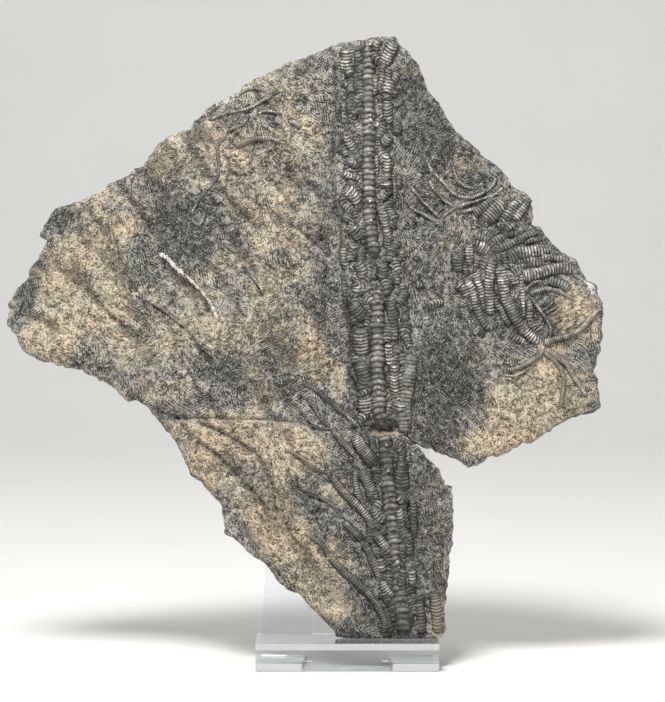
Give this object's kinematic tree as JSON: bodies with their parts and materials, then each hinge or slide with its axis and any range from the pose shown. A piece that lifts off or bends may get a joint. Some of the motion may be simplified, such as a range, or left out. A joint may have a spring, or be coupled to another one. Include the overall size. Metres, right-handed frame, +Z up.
{
  "type": "crinoid fossil",
  "caption": "Shale slab with a fossil crinoid (sea lily) stem and crown on its face, leaning on a clear moulded easel.",
  "frame": {"origin": "middle of the footprint box, on the surface the easel stands on", "axes": "+Z up; the fossil face looks towards -Y and leans back; +X to the right of that face"},
  "size_m": [0.1666, 0.0608, 0.1742],
  "materials": {
    "shale": "matt split shale, with the fossil in a satin grey",
    "clear_plastic": "clear glossy moulded plastic"
  },
  "bodies": {
    "root": {"slab": "shale", "stand": "clear_plastic"}
  },
  "joints": []
}
